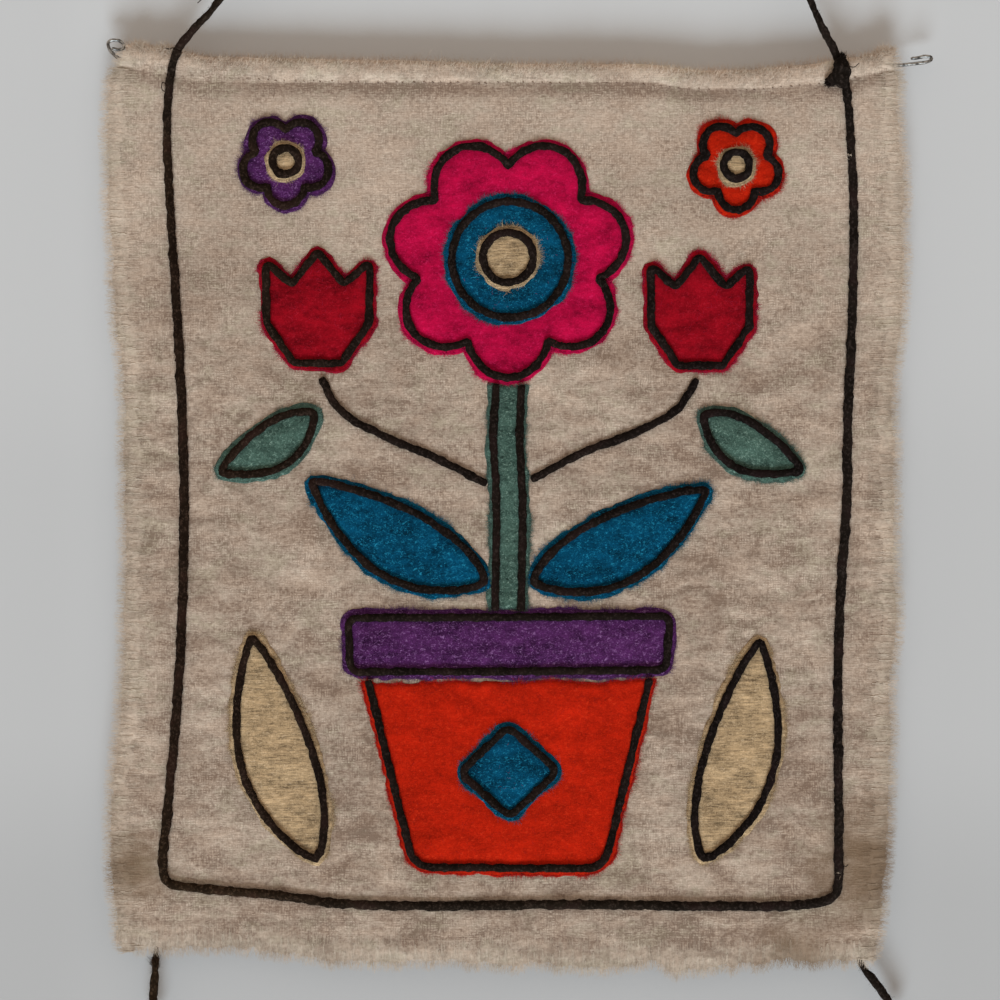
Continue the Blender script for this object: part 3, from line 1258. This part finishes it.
class HANGING_OT_ground(bpy.types.Operator):
    """Makes the woven ground with its folded hem, and the stitches along the hem's seam"""

    bl_idname = "hanging.ground"
    bl_label = "Ground Cloth"

    def execute(self, context):
        step = settings().ground_step / MM
        columns = round(380 / step) + 1
        front, fold, flap = round(450 / step), 10, 5
        u = np.linspace(0, 1, columns)
        rows = []
        for r in range(front + 1):
            flat = edge_point(u, r / front)
            rows.append((flat, cloth_depth(flat), relief(flat)))
        top = rows[-1][0][:, 1] - FOLD_RADIUS
        across = rows[-1][0][:, 0]
        lift = rows[-1][2]
        for k in range(1, fold + 1):
            turn = math.pi * k / fold
            flat = np.stack([across, top + FOLD_RADIUS * (1 - math.sin(turn))], 1)
            rough = 0.25 * patchy(across / 4, across * 0 + k, 31)
            depth = FOLD_RADIUS * (1 - math.cos(turn)) + 0 * across
            rows.append((flat, depth, lift * (1 - k / fold) + rough))
        for k in range(1, flap + 1):
            below = FOLD_RADIUS + (HEM_HEIGHT - FOLD_RADIUS) * k / flap
            flat = np.stack([across, top + below], 1)
            rough = 0.25 * patchy(across / 5, across * 0 + k / 2, 32)
            rows.append((flat, hem_back(below) + 0 * across, rough))
        outer = np.stack([placed(flat, depth) for flat, depth, _ in rows])
        stand = np.stack([h for _, _, h in rows]) * MM
        normal = unit(np.cross(np.gradient(outer, axis=1), np.gradient(outer, axis=0)))
        front_points = outer + normal * stand[..., None]
        back_points = outer - normal * (CLOTH_THICKNESS * MM - 0.8 * stand[..., None])
        count, wide = stand.shape
        points = np.concatenate([front_points.reshape(-1, 3), back_points.reshape(-1, 3)])
        quads = grid_faces(count, wide)
        number = count * wide
        ring = np.concatenate(
            [
                np.arange(wide),
                np.arange(1, count) * wide + wide - 1,
                (count - 1) * wide + np.arange(wide - 2, -1, -1),
                np.arange(count - 2, 0, -1) * wide,
            ]
        )
        after = np.roll(ring, -1)
        rim = np.stack([ring, ring + number, after + number, after], 1)
        faces = np.concatenate([quads, quads[:, ::-1] + number, rim])
        wool = material("ground_wool")
        cloth = new_piece("ground", points, faces, wool, "ground_wool", replaces=["ground_cloth"])
        self.seam_stitches()
        return {"FINISHED"}

    def seam_stitches(self):
        """Short brown stitches in the seam's valley, with a loose thread here and there."""
        rng = seeded("seam")
        across = np.arange(-172, 180, 4.6)
        across = across + rng.uniform(-1.0, 1.0, len(across))
        down = read_table(HEM_SEAM, across) + rng.uniform(-0.3, 0.3, len(across))
        half = rng.uniform(0.25, 0.75, len(across))
        share = np.linspace(-1, 1, 5)[None, :]
        flat = np.stack([across[:, None] + half[:, None] * share, down[:, None] + 0.25 * share], -1)
        depth = 0.35 - 0.35 * (1 - share**2)
        radius = 0.24 * (1 - 0.5 * share**2) * (0.45 + 0.55 * ease((across + 165) / 90))[:, None] * MM
        points, faces = threads(placed(flat, depth + 0 * half[:, None]), radius, 5)
        new_piece("seam_stitches", points, faces, material("thread"), "yarn")


class HANGING_OT_frays(bpy.types.Operator):
    """Makes the frayed threads along the two sides and the bottom, and the fuzz on the hem's fold"""

    bl_idname = "hanging.frays"
    bl_label = "Frayed Edges"

    def execute(self, context):
        rows = np.linspace(1, 0, 400)
        left, right, bottom = edge_point(0.0, rows), edge_point(1.0, rows), edge_point(1 - rows, 0.0)
        left = np.concatenate([left, left[-1:] + (0, 6.5)])
        right = np.concatenate([right, right[-1:] + (0, 4.0)])
        bottom = np.concatenate([bottom[:1] - (6.0, 0), bottom, bottom[-1:] + (3.0, 0)])
        self.fray("fringe_left", left, (-1.0, 0.0), 0.08, (0.15, 16), (0.5, 14))
        self.fray("fringe_right", right, (1.0, 0.0), 0.08, (0.5, 14), (0.45, 22))
        self.fray("fringe_bottom", bottom, (0.0, 1.0), 0.21, (0.35, 14), (0.55, 16))
        self.fold_fuzz()
        return {"FINISHED"}

    def fray(self, name, edge, outward, lobes, first, last):
        """Loosened threads that run on past the weave: a close veil, fine fibres and pale tufts over it.

        First and last hold how much shorter they are at each end, and over how many millimetres.
        """
        rng = seeded(name)
        long = settings().fray_length / MM
        out = np.array(outward)
        sideways = np.array([-out[1], out[0]])
        along = lengths_of(edge)
        whole = along[-1]
        seed = int(rng.integers(1000))

        def along_edge(at):
            return np.stack([np.interp(at, along, edge[:, k]) for k in (0, 1)], -1)

        def reach_at(at):
            """How far the close veil stands out, with soft lobes."""
            wide, fine = patchy(at / 14, at * 0, seed), patchy(at / 4, at * 0 + 7, seed)
            ends = (first[0] + (1 - first[0]) * ease(at / first[1])) * (
                last[0] + (1 - last[0]) * ease((whole - at) / last[1])
            )
            return long * (0.52 + lobes * wide + 0.6 * lobes * fine) * ends

        def lift(flat, travel, height):
            """How far the threads stand out, which falls away past the edge."""
            past = ease(travel / 6)
            return relief(flat) * (1 - past) + height - 0.45 * past

        def veil():
            at = np.arange(0, whole, 0.55)
            reach = reach_at(at) + rng.uniform(-0.5, 0.5, len(at))
            inner = -3.6 + 3.0 * patchy(at / 6, at * 0 + 2, seed)
            share = np.array([0, 0.3, 0.55, 0.8, 1.0])[None, :]
            travel = inner[:, None] + (reach - inner)[:, None] * share
            flat = along_edge(at[:, None] + 0 * share) + travel[..., None] * out
            flat = flat + rng.normal(0, 0.12, (len(at), 1, 1)) * share[..., None] * sideways
            stand = lift(flat, travel, 0.10 - 0.3 * (share == 0))
            points = placed(flat, cloth_depth(flat) - stand + rng.normal(0, 0.06, (len(at), 1)) * share)
            return points.reshape(-1, 3), [grid_faces(len(at), share.shape[1])]

        def strands(at, starts, ends, bend, width, height, segments=3):
            """Ribbons that face the front, from start to end across the edge, which is at 0."""
            count = len(at)
            share = np.linspace(0, 1, segments + 1)[None, :]
            travel = starts[:, None] + (ends - starts)[:, None] * share
            curve = rng.normal(0, bend, count)[:, None] * share**2
            curve = curve + rng.normal(0, 0.35 * bend, count)[:, None] * np.sin(7 * share)
            flat = along_edge(at[:, None] + 0 * share) + travel[..., None] * out + curve[..., None] * sideways
            stand = lift(flat, travel, height)
            path = placed(flat, cloth_depth(flat) - stand + rng.normal(0, 0.14, count)[:, None] * share**2)
            half = rng.uniform(0.6, 1.0, count)[:, None] * width * (1 - 0.6 * share) * MM
            facing = rng.normal(0, 0.2, (count, 1, 3)) + np.array([0, 1.0, 0])
            toward = unit(np.cross(np.gradient(path, axis=1), facing)) * half[..., None]
            ribbon = np.stack([path - toward, path + toward], 2).reshape(-1, 3)
            return ribbon, [ribbon_faces(count, segments)]

        count = int(whole * 4)
        at = rng.uniform(0, whole, count)
        ends = reach_at(at) + rng.uniform(-1.0, 2.4, count)
        close = strands(at, -rng.uniform(0, 8, count), ends, 0.6, 0.2, 0.08)
        points, faces = joined([veil(), close])
        piece = name.replace("fringe", "frays")
        new_piece(piece, points, faces, material("ground_fray"), "ground_wool", replaces=[name])
        count = int(whole * 26)
        at = rng.uniform(0, whole, count)
        ends = reach_at(at) - 0.5 + 6.0 * rng.uniform(0, 1, count) ** 1.6
        haze = strands(at, ends - rng.uniform(2, 5, count), ends, 1.0, 0.07, 0.12, 2)
        tuft_at = np.cumsum(rng.uniform(0.6, 1.4, int(whole / 4.6)) * 4.6)
        bunch = np.repeat(tuft_at, 7)
        tip = np.repeat(rng.uniform(-1.5, 2.2, len(tuft_at)), 7) + rng.uniform(-0.8, 0.8, len(bunch))
        bunch = np.clip(bunch + rng.normal(0, 0.30, len(bunch)), 0, whole)
        ends = reach_at(bunch) + tip
        tufts = strands(bunch, ends - rng.uniform(3, 8, len(bunch)), ends, 0.7, 0.22, 0.30)
        points, faces = joined([haze, tufts])
        new_piece(piece + "_fuzz", points, faces, material("ground_fibre"), "ground_wool")

    def fold_fuzz(self):
        """Light fibres that stand up from the hem's fold and lie over its band."""
        rng = seeded("fold")
        even = 9000
        corners = (rng.uniform(-184, -161, 2400), rng.uniform(182, 198, 1700))
        across = np.concatenate([rng.uniform(-189, 194, even), *corners])
        count = len(across)
        fluffy = 1 + 0.7 * (np.arange(count) >= even)
        top = read_table(HEM_TOP, across)
        angle = rng.uniform(-0.5, 0.55, count) * math.pi
        rise = FOLD_RADIUS * np.cos(angle)
        flat = np.stack([across, top + FOLD_RADIUS - rise], 1)
        roots = placed(flat, FOLD_RADIUS * (1 + np.sin(angle)) - 0.2)
        heads = np.stack([rng.normal(0.25, 0.7, count), np.sin(angle) * 0.8, np.cos(angle)], 1)
        lengths = rng.uniform(0.8, 3.4, count) * (0.65 + 0.5 * patchy(across / 6, across * 0, 33))
        lengths = lengths * fluffy * MM
        upper = fibres(roots, heads, lengths, 0.14 * MM, rng, curl=0.6, segments=2)
        count = 4200
        across = rng.uniform(-186, 192, count)
        top, seam = read_table(HEM_TOP, across), read_table(HEM_SEAM, across)
        flat = np.stack([across, seam - (seam - top - 1.5) * rng.uniform(0, 1, count)], 1)
        heads = np.stack([rng.normal(0.45, 0.45, count), rng.uniform(-0.25, 0.0, count), np.ones(count)], 1)
        roots = placed(flat, cloth_depth(flat) - relief(flat) - 0.05)
        lengths = rng.uniform(1.5, 4.0, count) * MM
        band = fibres(roots, heads, lengths, PATCH_HAIR, rng, curl=0.35, segments=2)
        points, faces = joined([upper, band])
        new_piece("hem_fuzz", points, faces, material("ground_fibre"), "ground_wool")
        count = 9000
        across = rng.uniform(-188, 194, count)
        back = placed(np.stack([across, read_table(HEM_TOP, across) + 1.5], 1), FOLD_RADIUS * 1.4)
        heads = np.stack([rng.normal(0, 0.6, count), rng.uniform(0.0, 0.9, count), np.ones(count)], 1)
        lengths = rng.uniform(2.0, 6.5, count) * MM
        haze = fibres(back, heads, lengths, FINE_HAIR, rng, curl=0.5, segments=2)
        new_piece("fold_haze", *haze, material("ground_fray"), "ground_wool")


# Patches and their outlines


def triangulated(outline, step):
    """Points and triangles over the inside of an outline, with the outline's own points first."""
    low, high = outline.min(0), outline.max(0)
    rows = np.arange(low[1] + step / 2, high[1], step * 0.87)
    grid = []
    for i, y in enumerate(rows):
        xs = np.arange(low[0] + (i % 2) * step / 2, high[0], step)
        grid.append(np.stack([xs, np.full(len(xs), y)], 1))
    grid = np.concatenate(grid)
    start, end = outline, np.roll(outline, -1, 0)
    crossing = (start[None, :, 1] > grid[:, None, 1]) != (end[None, :, 1] > grid[:, None, 1])
    slope = (end[:, 0] - start[:, 0]) / np.where(end[:, 1] == start[:, 1], 1e-9, end[:, 1] - start[:, 1])
    hit = start[None, :, 0] + (grid[:, None, 1] - start[None, :, 1]) * slope[None, :]
    inside = (crossing & (grid[:, None, 0] < hit)).sum(1) % 2 == 1
    near = np.linalg.norm(grid[:, None, :] - outline[None], axis=2).min(1) > step * 0.55
    points = np.concatenate([outline, grid[inside & near]])
    made = geometry.delaunay_2d_cdt([Vector(p) for p in points], [], [list(range(len(outline)))], 1, 1e-6)
    flat = np.array([tuple(v) for v in made[0]])
    faces = np.array([f for f in made[2] if len(f) == 3])
    return flat, faces


class HANGING_OT_patches(bpy.types.Operator):
    """Makes the wool patches, slightly puffed between the yarns that hold them, with their fuzzy edges"""

    bl_idname = "hanging.patches"
    bl_label = "Patches"

    def execute(self, context):
        shapes = [(*motif, PATCH_MARGIN) for motif in motifs()]
        left, right = stem_sides()
        out = outward_normals(left, closed=False) * PATCH_MARGIN
        stem = np.concatenate([left + out, (right - out)[::-1]])
        shapes.append(("stem", "green_wool", 1, stem, 0.0))
        sides = pot_sides()
        pot = (sides - outward_normals(sides, closed=False) * PATCH_MARGIN)[::-1]
        shapes.append(("pot", "orange_wool", 1, evened(pot, 1.0, closed=True), 0.0))
        fuzz = {}
        for name, finish, *shape in shapes:
            fuzz.setdefault(finish, []).extend(self.patch(name, finish, *shape))
        for finish, lots in fuzz.items():
            points, faces = joined(lots)
            new_piece(finish + "_fuzz", points, faces, material(finish + "_fibre"), finish)
        return {"FINISHED"}

    def patch(self, name, finish, layer, line, margin):
        """One patch, whose outline runs this margin outside a line; its fibres are returned."""
        rng = seeded(name)
        outline = evened(line, 1.3, closed=True)
        out = outward_normals(outline)
        turns = np.arange(len(outline))
        ragged = 0.60 * patchy(turns / 2.2, turns * 0, rng.integers(1000))
        ragged = ragged + 0.75 * patchy(turns / 9.0, turns * 0, rng.integers(1000))
        outline = outline + out * (margin + ragged)[:, None]
        flat, triangles = triangulated(outline, 2.0)
        away, index = sewn.near(flat)
        puff = 0.40 * (1 - np.exp(-((away / 6.0) ** 2)))
        puff = puff + 0.15 * patchy(index / 6.0, away * 0, 41) * np.exp(-away / 6)
        edge = np.zeros(len(flat), bool)
        edge[: len(outline)] = True
        puff = np.where(edge, -0.75, puff)
        depth = layer_depth(flat, layer)
        front = placed(flat, depth - puff)
        back = placed(flat, depth + 0.9 * PATCH_THICKNESS)
        count = len(flat)
        first, second, third = (front[triangles[:, k]] for k in range(3))
        turn = np.cross(second - first, third - first)
        triangles = np.where((turn[:, 1] > 0)[:, None], triangles[:, ::-1], triangles)
        ring = self.boundary(triangles)
        rim = np.stack([ring[:, 1], ring[:, 0], ring[:, 0] + count, ring[:, 1] + count], 1)
        points = np.concatenate([front, back])
        faces = [np.concatenate([triangles, triangles[:, ::-1] + count]), rim]
        replaces = ["patch_" + name]
        piece = new_piece(name + "_cloth", points, faces, material(finish), finish, replaces=replaces)
        size = (outline.max(0) - outline.min(0)) * MM
        nearby = np.roll(outline, -1, 0)
        area = abs((outline[:, 0] * nearby[:, 1] - nearby[:, 0] * outline[:, 1]).sum()) / 2 * MM * MM
        size = tuple(float(side) for side in size)
        return self.edge_fuzz(outline, layer, rng), self.surface_fuzz(flat, depth - puff, finish, rng)

    def boundary(self, triangles):
        """The directed edges that belong to one triangle alone."""
        edges = np.concatenate([triangles[:, [0, 1]], triangles[:, [1, 2]], triangles[:, [2, 0]]])
        key = np.sort(edges, 1)
        _, first, counts = np.unique(key, axis=0, return_index=True, return_counts=True)
        return edges[first[counts == 1]]

    def edge_fuzz(self, outline, layer, rng):
        """Coloured fibres that creep out from under the outlining yarn."""
        closed = np.concatenate([outline, outline[:1]])
        along = lengths_of(closed)
        count = int(along[-1] * 12)
        at = rng.uniform(0, along[-1], count)
        flat = np.stack([np.interp(at, along, closed[:, k]) for k in (0, 1)], 1)
        ahead = np.stack([np.interp((at + 0.5) % along[-1], along, closed[:, k]) for k in (0, 1)], 1)
        run = unit(ahead - flat)
        out = np.stack([run[:, 1], -run[:, 0]], 1)
        patch = 0.75 + 0.75 * patchy(at / 7, at * 0, rng.integers(1000))
        lengths = settings().patch_fuzz * rng.uniform(0.2, 1.0, count) ** 1.4 * np.clip(patch, 0.2, 1.3)
        depth = layer_depth(flat, layer) + rng.uniform(0.1, 0.8, count)
        flat_head = out + run * rng.normal(0, 0.7, (count, 1))
        heads = np.stack([flat_head[:, 0], rng.uniform(-0.35, 0.25, count), -flat_head[:, 1]], 1)
        roots = placed(flat - out * 0.9, depth)
        short = lengths < 1.5 * MM
        lots = []
        for some, segments in ((short, 1), (~short, 3)):
            lots.append(fibres(roots[some], heads[some], lengths[some], PATCH_HAIR, rng, segments=segments))
        return joined(lots)

    def surface_fuzz(self, flat, depth, finish, rng):
        """Loose fibres that lie on the patch."""
        count = int(len(flat) * LOOSE_FIBRES.get(finish, FEW_FIBRES))
        pick = rng.integers(0, len(flat), count)
        roots = placed(flat[pick] + rng.uniform(-1, 1, (count, 2)), depth[pick] - 0.05)
        turn = rng.uniform(0, math.tau, count)
        heads = np.stack([np.cos(turn), rng.uniform(-0.3, 0.0, count), np.sin(turn)], 1)
        return fibres(roots, heads, rng.uniform(1.0, 3.5, count) * MM, FINE_HAIR, rng, curl=0.9, segments=2)


class HANGING_OT_outlines(bpy.types.Operator):
    """Makes the felted yarns that outline the patches, and the side stems"""

    bl_idname = "hanging.outlines"
    bl_label = "Outlines"

    def execute(self, context):
        lots = []
        for i, (name, layer, flat, closed) in enumerate(yarn_lines()):
            flat = evened(flat, 0.9, closed=closed)
            line = laid_line(flat, layer, LINE_RADIUS, LINE_FLATNESS)
            tube = yarn_tube(line, LINE_RADIUS * 0.86, closed, 10, 0.08, 0.11, 50 + i, LINE_FLATNESS)
            new_piece(name + "_yarn", *tube, material("yarn"), "yarn", replaces=["line_" + name])
            length = settings().yarn_fuzz * 0.8
            lots.append(fuzz_round(line, LINE_RADIUS * 0.95, 6.0, length, YARN_HAIR, name))
        points, faces = joined(lots)
        new_piece("outline_fuzz", points, faces, material("yarn"), "yarn")
        return {"FINISHED"}


class HANGING_OT_loose_bits(bpy.types.Operator):
    """Makes the loose threads that have caught on the hanging, and the stitches on its back"""

    bl_idname = "hanging.loose_bits"
    bl_label = "Loose Bits"

    def execute(self, context):
        lots = []
        for route in LOOSE_THREADS:
            line = smooth_line(route)
            depth = layer_depth(line, 0) - 1.6 - 0.8 * np.sin(np.linspace(0, math.pi, len(line)))
            lots.append(threads(placed(line, depth)[None], np.full((1, len(line)), 0.24 * MM), 5))
        points, faces = joined(lots)
        new_piece("loose_threads", points, faces, material("yarn"), "yarn")
        rng = seeded("lint")
        spots = np.repeat(np.array(LINT_SPOTS), 7, axis=0)
        spots = spots + rng.normal(0, 0.5, spots.shape)
        heads = rng.normal(size=(len(spots), 3)) * (1, 0.2, 1)
        roots = placed(spots, layer_depth(spots, 0) - 3.2)
        lint = fibres(roots, heads, rng.uniform(0.8, 2.0, len(spots)) * MM, COARSE_HAIR, rng, curl=0.8)
        new_piece("pale_lint", *lint, material("ground_fibre"), "ground_wool")
        self.back_stitches()
        return {"FINISHED"}

    def back_stitches(self):
        """The short stitches on the back that hold the yarns and patches."""
        rng = seeded("back")
        flats = [(line, closed) for _, _, line, closed in yarn_lines()]
        flats.append((long_yarn()["border_yarn"][0], False))
        starts, ends = [], []
        for line, closed in flats:
            points = evened(line, 7.0, closed=closed)
            run = unit(np.gradient(points, axis=0))
            starts.append(points - run * 1.5)
            ends.append(points + run * 1.5)
        start, end = np.concatenate(starts), np.concatenate(ends)
        keep = start[:, 1] > 22
        start, end = start[keep], end[keep]
        start += rng.uniform(-0.6, 0.6, start.shape)
        share = np.linspace(0, 1, 5)[None, :, None]
        flat = start[:, None, :] * (1 - share) + end[:, None, :] * share
        bow = np.sin(math.pi * share[..., 0])
        depth = cloth_depth(flat) + CLOTH_THICKNESS - 0.8 * relief(flat) + 0.35 * bow - 0.1
        radius = (0.32 * MM) * (1 + 0 * depth)
        points, faces = threads(placed(flat, depth), radius, 4)
        new_piece("back_stitches", points, faces, material("yarn"), "yarn")


class HANGING_PT_panel(bpy.types.Panel):
    """Lists the hanging's sizes, colours and making steps"""

    bl_label = "Wall Hanging"
    bl_idname = "HANGING_PT_panel"
    bl_space_type = "VIEW_3D"
    bl_region_type = "UI"
    bl_category = "Hanging"

    def draw(self, context):
        column = self.layout.column()
        for name in HangingSettings.__annotations__:
            column.prop(context.scene.hanging, name)
        for step in STEPS:
            column.operator(step.bl_idname)


STEPS = (
    HANGING_OT_stage,
    HANGING_OT_cords,
    HANGING_OT_frame_yarn,
    HANGING_OT_wire,
    HANGING_OT_ground,
    HANGING_OT_frays,
    HANGING_OT_patches,
    HANGING_OT_outlines,
    HANGING_OT_loose_bits,
)
CLASSES = (HangingSettings, *STEPS, HANGING_PT_panel)


def register():
    for item in CLASSES:
        bpy.utils.register_class(item)
    bpy.types.Scene.hanging = PointerProperty(type=HangingSettings)


def unregister():
    del bpy.types.Scene.hanging
    for item in reversed(CLASSES):
        bpy.utils.unregister_class(item)


def main():
    register()
    for step in STEPS:
        group, name = step.bl_idname.split(".")
        getattr(getattr(bpy.ops, group), name)()


if __name__ == "__main__":
    main()
